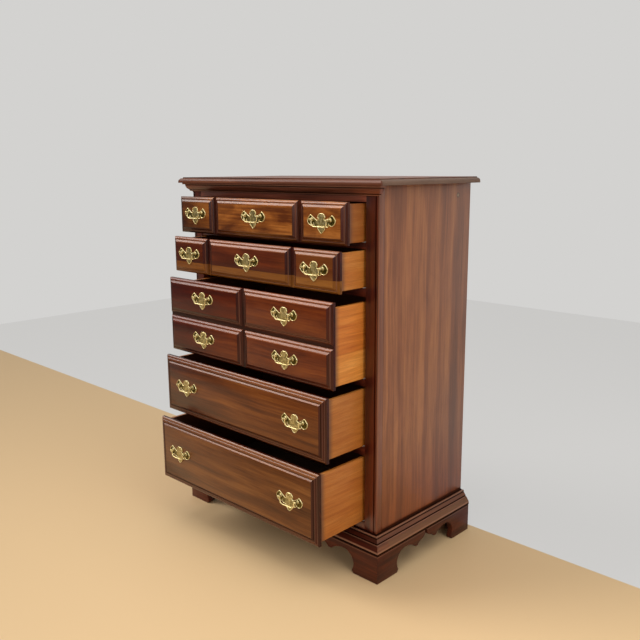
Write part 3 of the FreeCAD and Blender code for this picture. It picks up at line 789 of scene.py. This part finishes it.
def front_mesh(number, low, high):
    """Board and blocks as one closed shell, with a map whose U follows the grain."""
    base = high.y - lip
    back = high.y
    block_height = base - low.y
    blocks = front_blocks(number, low, high)
    profile = edge_profile(number, block_height)
    body = bmesh.new()
    dark = body.verts.layers.float.new("glaze_and_shade")
    arris_light = body.verts.layers.float.new("rub")
    strip = body.faces.layers.float.new("moulded")
    pale = body.faces.layers.float.new("paler_toned")
    uv = body.loops.layers.uv.new("grain")

    def face(points, upright, leaf, shades=((0, 0),) * 4, moulded=0.0, paler_toned=0.0):
        """One face: upright grain or level, and which leaf of veneer or strip it belongs to."""
        verts = []
        for point, (glaze_and_shade, rub) in zip(points, shades):
            vert = body.verts.new(point)
            vert[dark] = glaze_and_shade
            vert[arris_light] = rub
            verts.append(vert)
        made = body.faces.new(verts)
        made[strip] = moulded
        made[pale] = paler_toned
        for corner in made.loops:
            x, y, z = corner.vert.co
            u, v = (z, x) if upright else (x, z)
            corner[uv].uv = (u + 1.7 * leaf, v + (y - base) + 0.9 * leaf)

    # Strip faces: the uprights take the dark edging tone fully and the lower strips in part, partly the
    # solid moulding's own tone and partly painted shade; the upper strips keep the field's tone and are
    # lightened as a painted highlight.
    for leaf, block in enumerate(blocks):
        for (u0, h0, g0, r0), (u1, h1, g1, r1) in zip([(0, 0, 0.4, 0.0)] + profile, profile):
            a = block_loop(block, u0, base - h0)
            b = block_loop(block, u1, base - h1)
            for k in range(4):
                n = (k + 1) % 4
                face((a[k], a[n], b[n], b[k]), k in (1, 3), 2 + leaf + 0.3 * k,
                     ((g0, r0), (g0, r0), (g1, r1), (g1, r1)), (0.6, 1.0, 0.0, 1.0)[k], float(k == 2))
        face(block_loop(block, profile[-1][0], low.y), False, 0.013 * leaf)
    stations = sorted({v for b in blocks for v in b[:2]})
    levels = sorted({v for b in blocks for v in b[2:]})
    for x0, x1 in zip(stations, stations[1:]):
        for z0, z1 in zip(levels, levels[1:]):
            if not any(b[0] <= x0 and x1 <= b[1] and b[2] <= z0 and z1 <= b[3] for b in blocks):
                # Channel floors between the blocks: dark glaze and edging tone, painted shade in the
                # channels.
                face(block_loop((x0, x1, z0, z1), 0, base), False, 9, ((0.6, 0),) * 4, 1.0)
    for x0, x1 in zip(stations, stations[1:]):
        for z0, z1 in zip(levels, levels[1:]):
            face([(x0, back, z0), (x0, back, z1), (x1, back, z1), (x1, back, z0)], False, 11)
        for z in (low.z, high.z):
            face([(x0, base, z), (x1, base, z), (x1, back, z), (x0, back, z)], False, 12, moulded=1.0)
    for z0, z1 in zip(levels, levels[1:]):
        for x in (low.x, high.x):
            face([(x, base, z0), (x, base, z1), (x, back, z1), (x, back, z0)], False, 13, moulded=1.0)
    closed(body)
    break_edges(body, front_arris, front_angle, front=base - 0.1 * block_height)
    return made_up("drawer_front", body)


def front_wood(number, low, high):
    k = number - 1
    name = "front_wood_%d" % number
    made, tree, surface = shell(name, rough=0.4, coat=0.5, coat_rough=0.18, specular=0.08)
    colour, height = timber(tree, "UV", front_tones[k], front_figures[k], (1.5, 60.0), 0.3,
                            shift=1.3 * number, contrast=front_contrasts[k])
    if number == 3:
        middle = (low.z + high.z) / 2
        dull = times(tree, below(tree, "X", -0.001, 0.001),
                     above(tree, "Z", middle - 0.001, middle + 0.001))
        colour = wash(tree, colour, dull, 1.0, "#d8b488", "MULTIPLY")
    edging = timber(tree, "UV", edge_tones, (1.5, 25.0), (0.8, 60.0), 0.35, shift=2.2 * number)[0]
    moulded = painted(tree, "moulded")
    # Edging tone on the strips: the solid moulding's tone, and painted shade on the uprights and lower
    # strips.
    colour = mixed(tree, "MIX", times(tree, moulded, 0.9), colour, edging)
    # Painted highlight: the upper strips are lightened.
    colour = wash(tree, colour, painted(tree, "paler_toned"), upper_highlight[k], "#b8734a")
    # Painted reflection: a golden band low across the second front, and a golden wash over its right-hand
    # part, less on the strips.
    if number == 2:
        edge = low.z + reflection_band_share * (high.z - low.z)
        reflection_band = times(tree, below(tree, "Z", edge - 0.0012, edge + 0.0012), 0.72)
        reflected_gold = timber(tree, "UV", reflection_band_tones, (3.0, 20.0), (1.5, 60.0), 0.3, 4.0, 0.13)[0]
        lit = times(tree, above(tree, "X", 0.1, 0.3), sums(tree, "MULTIPLY_ADD", moulded, -0.3, 0.3))
        colour = mixed(tree, "MIX", sums(tree, "MAXIMUM", reflection_band, lit), colour, reflected_gold)
    # Painted shade: the left ends darker.
    shaded = below(tree, "X", low.x, left_ends[k])
    colour = wash(tree, colour, shaded, 1.0, left_shades[k], "MULTIPLY")
    # Dark glaze in quirks and channels, partly painted shade; lighter arrises, partly painted highlight.
    glaze_and_shade = painted(tree, "glaze_and_shade")
    colour = wash(tree, colour, painted(tree, "rub"), 0.4, "#94604a")
    colour = wash(tree, colour, glaze_and_shade, 0.85, "#180602")
    matt(tree, surface, glaze_and_shade)
    finished(tree, surface, colour, height)
    return made


for number in range(1, 6):
    drawer = "drawer_%d" % number
    low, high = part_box(drawer + "_front")
    settled(drawer + "_board", front_mesh(number, low, high), front_wood(number, low, high), drawer,
            drawer + "_front")

# ---- Pulls: plates and posts ----
# Cast batwing backplates with a bright bevelled rim round a darkened field, rubbed bright again in
# its middle, each held by two turned posts that pass through the front to flanged nuts inside.  The
# rim's pale, partly diffuse cream is partly a painted highlight, and the field's darkening towards the
# wings is partly patina and partly painted shade in their recesses.

plate_half = 0.058
plate_up = 0.0192
plate_down = 0.0417
plate_thick = 0.003
rim_width = 0.0023
# share of the rim's width, share of the thickness, brightness
plate_rim = [(0, 0, 0.6), (0, 0.55, 1), (0.2, 0.87, 1), (0.5, 1, 1), (0.8, 0.87, 1), (1, 0.6, 0)]
post_half = 0.0381
post_reach = 0.010
post_ball = 0.0042
post_tip = -plate_thick - post_reach
post_collar = [(0.0058, -0.5 * plate_thick), (0.0062, -0.9 * plate_thick),
               (0.0056, -plate_thick - 0.0006), (0.0042, -plate_thick - 0.0012),
               (0.0029, -plate_thick - 0.0022), (0.0027, post_tip + 0.0048)]
flange_radius = 0.006
flange_thick = 0.0008
nut_radius = 0.0046
nut_thick = 0.0025


def plate_outline():
    """Batwing outline from the top lobe round both wings, clockwise as seen from the front."""
    upper = drawn((0, 1), ((0.21, 0.80), (0.27, 0.45)), ((0.26, 0.27), (0.215, 0.16)),
                  ((0.24, 0.01), (0.31, -0.05)), ((0.54, 0.33), (0.755, 0.78)), ((0.90, 0.43), (1, 0.04)),
                  wide=plate_half, tall=plate_up, count=6)
    lower = drawn((1, -0.04 * plate_up / plate_down), ((0.95, 0.27), (0.80, 0.43)),
                  ((0.715, 0.455), (0.63, 0.435)), ((0.57, 0.40), (0.54, 0.33)),
                  ((0.51, 0.46), (0.43, 0.54)), ((0.33, 0.535), (0.235, 0.62)),
                  ((0.235, 0.71), (0.19, 0.77)), ((0.11, 0.90), (0, 1)),
                  wide=plate_half, tall=-plate_down, count=6)
    half = upper + lower[1:]
    return half + [(-x, z) for x, z in reversed(half[1:-1])]


def inset_line(points, distance):
    """The closed line moved inwards; its points run clockwise as seen from the front."""
    moved = []
    for k, (x, z) in enumerate(points):
        px, pz = points[k - 1]
        nx, nz = points[(k + 1) % len(points)]
        before = Vector((x - px, z - pz)).normalized()
        after = Vector((nx - x, nz - z)).normalized()
        inward = Vector((before.y + after.y, -before.x - after.x))
        if inward.length < 1e-6:
            inward = Vector((before.y, -before.x))
        inward.normalize()
        half_turn = max(0.45, abs(inward.dot(Vector((before.y, -before.x)))))
        moved.append((x + inward.x * distance / half_turn, z + inward.y * distance / half_turn))
    return moved


def ring_of(body, points, layer, value):
    """A ring of points that carry a value."""
    ring = [body.verts.new(point) for point in points]
    for vert in ring:
        vert[layer] = value
    return ring


def turned(body, layer, profile, centre, value, steps=16):
    """Lathe work about an axis along Y: profile is (radius, y) points from the plate outwards."""
    angles = [math.tau * k / steps for k in range(steps)]
    rings = []
    for radius, y in profile:
        points = [(centre + radius * math.cos(a), y, radius * math.sin(a)) for a in angles]
        rings.append(ring_of(body, points, layer, value))
    solid(body, rings)


def pull_mesh(front_thickness):
    """Plate, rim, posts and nuts about the middle of the post line, with y = 0 on the wood."""
    body = bmesh.new()
    bright = body.verts.layers.float.new("bright")
    outline = plate_outline()
    loops = []
    for inset, depth, shine in plate_rim:
        line = inset_line(outline, inset * rim_width)
        loops.append(ring_of(body, [(x, -depth * plate_thick, z) for x, z in line], bright, shine))
    # The field is brighter in its middle and darker towards the wings: partly patina, partly painted shade
    # in the wings' recesses.
    for vert in loops[-1]:
        vert[bright] = max(0.0, 0.62 - 2.2 * max(0.0, abs(vert.co.x) / plate_half - 0.24))
    bmesh.ops.triangulate(body, faces=solid(body, loops))
    dome = [(post_ball * math.cos(a), post_tip - post_ball * math.sin(a))
            for a in (math.pi / 2 * k / 5 for k in range(-4, 5))]
    post = post_collar + dome + [(0.0006, post_tip - post_ball)]
    flange_top = front_thickness + flange_thick
    nut = [(flange_radius, front_thickness), (flange_radius, flange_top), (nut_radius, flange_top + 0.0001),
           (nut_radius, front_thickness + nut_thick)]
    for side in (-1, 1):
        turned(body, bright, post, side * post_half, 0.65)
        turned(body, bright, nut, side * post_half, 0.3, steps=6)
    closed(body)
    return made_up("pull", body)


def brass():
    made, tree, surface = shell("antique_brass", rough=0.3)
    where = grain_space(tree, "X")
    tarnish = fibres(tree, where, 180.0, 180.0, 4.0, 0.6)
    patches = fibres(tree, where, 110.0, 110.0, 2.0, 0.6, 0.0, 9.0)
    mottle = ramp(tree, patches, (0.4, 0.45), (0.56, 1))
    bright = painted(tree, "bright")
    bright = times(tree, bright, sums(tree, "MAXIMUM", mottle, sums(tree, "GREATER_THAN", bright, 0.65)))
    # The bright parts are pale cream and less metallic, so they stay bright under any lamp: polished brass,
    # partly a painted highlight.
    polished_and_lit = ramp(tree, tarnish, (0.3, tint("#ccb466")), (0.65, tint("#f2e4b2")))
    aged = ramp(tree, tarnish, (0.35, tint("#26240e")), (0.65, tint("#76682a")))
    for socket, most, loss in (("Metallic", 0.95, 0.4), ("Roughness", 0.45, 0.2)):
        tree.links.new(sums(tree, "SUBTRACT", most, times(tree, bright, loss)), surface.inputs[socket])
    finished(tree, surface, mixed(tree, "MIX", bright, aged, polished_and_lit), tarnish, depth=0.0004, strength=0.3)
    return made


def pull_layout():
    """Geometry nodes that set a pull on every point, make it real and give it its metal."""
    tree = bpy.data.node_groups.new("pull_layout", "GeometryNodeTree")
    for name, way, kind in (("Points", "INPUT", "Geometry"), ("Pull", "INPUT", "Object"),
                            ("Metal", "INPUT", "Material"), ("Pulls", "OUTPUT", "Geometry")):
        tree.interface.new_socket(name, in_out=way, socket_type="NodeSocket" + kind)
    entry, leave = tree.nodes.new("NodeGroupInput"), tree.nodes.new("NodeGroupOutput")
    kinds = ("ObjectInfo", "InstanceOnPoints", "RealizeInstances", "SetMaterial")
    shape, place, real, coat = [tree.nodes.new("GeometryNode" + kind) for kind in kinds]
    links = ((entry, "Points", place, "Points"), (entry, "Pull", shape, "Object"),
             (shape, "Geometry", place, "Instance"), (place, "Instances", real, "Geometry"),
             (real, "Geometry", coat, "Geometry"), (entry, "Metal", coat, "Material"),
             (coat, "Geometry", leave, "Pulls"))
    for source, out, target, into in links:
        tree.links.new(source.outputs[out], target.inputs[into])
    return tree


def laid_out(tree, points, **inputs):
    """Plain mesh that the tree makes on the points."""
    carrier_mesh = bpy.data.meshes.new("points")
    carrier_mesh.from_pydata(points, [], [])
    carrier = placed("points", carrier_mesh)
    layout = carrier.modifiers.new("layout", "NODES")
    layout.node_group = tree
    for socket in tree.interface.items_tree:
        if socket.name in inputs:
            layout[socket.identifier] = inputs[socket.name]
    ready = bpy.context.evaluated_depsgraph_get()
    mesh = bpy.data.meshes.new_from_object(carrier.evaluated_get(ready), preserve_all_data_layers=True,
                                           depsgraph=ready)
    bpy.data.objects.remove(carrier)
    return mesh


metal = brass()
layout_tree = pull_layout()
bails = {joint["child"]: (joint["parent"], Vector(joint["pos_m"])) for joint in frame["joints"]
         if "_bail_" in joint["child"]}
for number in range(1, 6):
    drawer = "drawer_%d" % number
    low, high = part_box(drawer + "_front")
    master = placed("pull", pull_mesh(high.y - low.y))
    centres = [(spot.x, low.y, spot.z) for parent, spot in bails.values() if parent == drawer]
    plates = laid_out(layout_tree, centres, Pull=master, Metal=metal)
    settled(drawer + "_plates", plates, metal, drawer, drawer + "_pull_plates")
    bpy.data.objects.remove(master)

# ---- Pulls: bails ----
# Cast brass handles that hang between the posts, thickest along the bottom of the swing.  A short
# pin at the head of each arm turns in the inner side of its post.

bail_drop = 0.021
bail_arm = 0.0313            # the arms, from the middle
bail_bend = 0.0115
bail_hub = 0.0021            # radius at the pins
bail_thin = 0.0017
bail_thick = 0.0025
pin_end = 0.0369
pin_radius = 0.0014


def bar(body, spot, line, radii, layer, steps=12):
    """Round bar swept along an upright line of (x, z) points about the spot."""
    rings = []
    for k, ((x, z), radius) in enumerate(zip(line, radii)):
        forward = (Vector(line[min(k + 1, len(line) - 1)]) - Vector(line[max(k - 1, 0)])).normalized()
        points = []
        for angle in (math.tau * j / steps for j in range(steps)):
            across = radius * math.cos(angle)
            points.append((spot.x + x + forward.y * across, spot.y + radius * math.sin(angle),
                           spot.z + z - forward.x * across))
        rings.append(ring_of(body, points, layer, 1.0))
    solid(body, rings)


def bail_mesh(spot):
    """Arms, bottom and pins; the arms end in rounded heads above the pins."""
    near = bail_bend * (1 - math.sin(math.pi / 4))
    foot = bail_thick - bail_hub - bail_drop
    head = bail_hub / 2
    line = [(bail_arm, head + bail_hub * math.sin(a)) for a in (1.5, 1.2, 0.8, 0.4)]
    line += [(bail_arm, z) for z in (head, -0.001, -0.003, -0.006)]
    line += drawn((bail_arm, foot + bail_bend),
                  ((bail_arm - near, foot + near), (bail_arm - bail_bend, foot)), count=8)
    line += [(0.013, foot), (0.0065, foot), (0, foot)]
    line += [(-x, z) for x, z in reversed(line[:-1])]
    radii = []
    for x, z in line:
        low = max(0.0, min(1.0, z / foot))
        radius = bail_thin + (bail_thick - bail_thin) * low ** 2 * (1 - 0.12 * (x / bail_arm) ** 2)
        radius += (bail_hub - bail_thin) * max(0.0, 1 - max(0.0, -z) / 0.005)
        radii.append(min(radius, math.sqrt(max(0.0, bail_hub ** 2 - max(0.0, z - head) ** 2))))
    body = bmesh.new()
    bright = body.verts.layers.float.new("bright")
    bar(body, spot, line, radii, bright)
    for side in (-1, 1):
        bar(body, spot, [(side * pin_end, 0), (side * bail_arm, 0)], [pin_radius] * 2, bright)
    closed(body)
    return made_up("bail", body)


for node, (drawer, spot) in bails.items():
    settled(node + "_bar", bail_mesh(spot), metal, node, node)

# ---- Room ----
# Plain pale floor that turns to the wall's grey behind the chest, soft overhead, window and room
# light with a broad soft sun from the upper left that draws the highlights, and the camera.

floor_size = 9.0
floor_tone = "#dfbf91"
wall_tone = "#d3d2d0"
wall_gap = 0.03              # the wall's foot behind the chest
wall_glow = 0.75             # how much of the wall's grey is its own light to the camera
sun_from = (-0.66, -0.42, 0.62)
sun_spread = math.radians(31)
camera_place = (1.8621, -1.83735, 1.3001)
camera_yaw = math.radians(43.97)
camera_pitch = math.radians(-11.48)
camera_roll = math.radians(-0.38)
camera_lens = 42.14


def floor():
    body = bmesh.new()
    bmesh.ops.create_grid(body, x_segments=1, y_segments=1, size=floor_size / 2)
    ground = placed("floor", made_up("floor", body))
    made, tree, surface = shell("floor_paint", rough=0.6)
    wall_foot = cad_box[1].y + wall_gap
    behind = above(tree, "Y", wall_foot - 0.002, wall_foot + 0.002)
    tone = mixed(tree, "MIX", behind, tint(floor_tone), tint(wall_tone))
    tree.links.new(tone, surface.inputs["Base Color"])
    even = add(tree, "Emission", tone, 1.0)
    share = times(tree, add(tree, "LightPath").outputs["Is Camera Ray"], times(tree, behind, wall_glow))
    both = add(tree, "MixShader", share, surface.outputs[0], even.outputs[0])
    tree.links.new(both.outputs[0], tree.nodes["Material Output"].inputs["Surface"])
    ground.data.materials.append(made)


def lamp(kind, name, power, colour, turn):
    light = bpy.data.lights.new(name, kind)
    light.energy = power
    light.color = colour
    made = placed(name, light)
    made.rotation_euler = turn.to_euler()
    return made


def soft_light(name, place, target, size, power, colour):
    made = lamp("AREA", name, power, colour, (Vector(target) - Vector(place)).to_track_quat("-Z", "Y"))
    made.location = place
    made.data.shape = "RECTANGLE"
    made.data.size, made.data.size_y = size


def surroundings():
    """Even glow; what is seen or mirrored is the pale wall and ceiling, darker on the viewer's side."""
    world = bpy.data.worlds.new("studio")
    world.use_nodes = True
    tree = world.node_tree
    tree.nodes.clear()
    path = add(tree, "LightPath").outputs
    mirrored = sums(tree, "MAXIMUM", path["Is Glossy Ray"], path["Is Transmission Ray"])
    way = add(tree, "SeparateXYZ", add(tree, "TexCoord").outputs["Generated"]).outputs
    fade = mapped(tree, way[1], -0.5, 0.5, 0.12, 1.0)
    ceiling = mapped(tree, way[2], 0.2, 0.6, 0.0, 1.2)
    level = times(tree, mirrored, sums(tree, "MAXIMUM", fade, ceiling))
    glow = add(tree, "Background", (1.0, 0.98, 0.95, 1), 0.18)
    wall = add(tree, "Background", tint(wall_tone), sums(tree, "MAXIMUM", path["Is Camera Ray"], level))
    seen = sums(tree, "MAXIMUM", path["Is Camera Ray"], mirrored)
    both = add(tree, "MixShader", seen, glow.outputs[0], wall.outputs[0])
    tree.links.new(both.outputs[0], add(tree, "OutputWorld").inputs["Surface"])
    bpy.context.scene.world = world


def camera():
    lens = bpy.data.cameras.new("view")
    lens.lens = camera_lens
    lens.sensor_width = 36.0
    lens.clip_end = 60.0
    made = placed("view", lens)
    forward = Vector((-math.sin(camera_yaw) * math.cos(camera_pitch),
                      math.cos(camera_yaw) * math.cos(camera_pitch), math.sin(camera_pitch)))
    level = Vector((math.cos(camera_yaw), math.sin(camera_yaw), 0))
    upward = level.cross(forward)
    right = level * math.cos(camera_roll) + upward * math.sin(camera_roll)
    up = upward * math.cos(camera_roll) - level * math.sin(camera_roll)
    turn = Matrix((right, up, -forward)).transposed()
    made.matrix_world = Matrix.Translation(camera_place) @ turn.to_4x4()
    bpy.context.scene.camera = made


floor()
soft_light("overhead", (0.9, -0.5, 3.2), (0.9, -0.5, 0), (4.5, 2.5), 64, (1, 0.98, 0.95))
soft_light("window", (3.4, -0.6, 1.9), (0, 0, 0.7), (2.0, 2.0), 31, (1, 0.98, 0.96))
soft_light("room", (1.2, -4.2, 1.9), (0, 0, 0.6), (2.4, 1.8), 42, (1, 0.97, 0.93))
sun = lamp("SUN", "sun", 1.6, (1, 0.97, 0.94), Vector(sun_from).to_track_quat("Z", "Y"))
sun.data.angle = sun_spread
surroundings()
camera()
bpy.context.scene.view_settings.view_transform = "Standard"
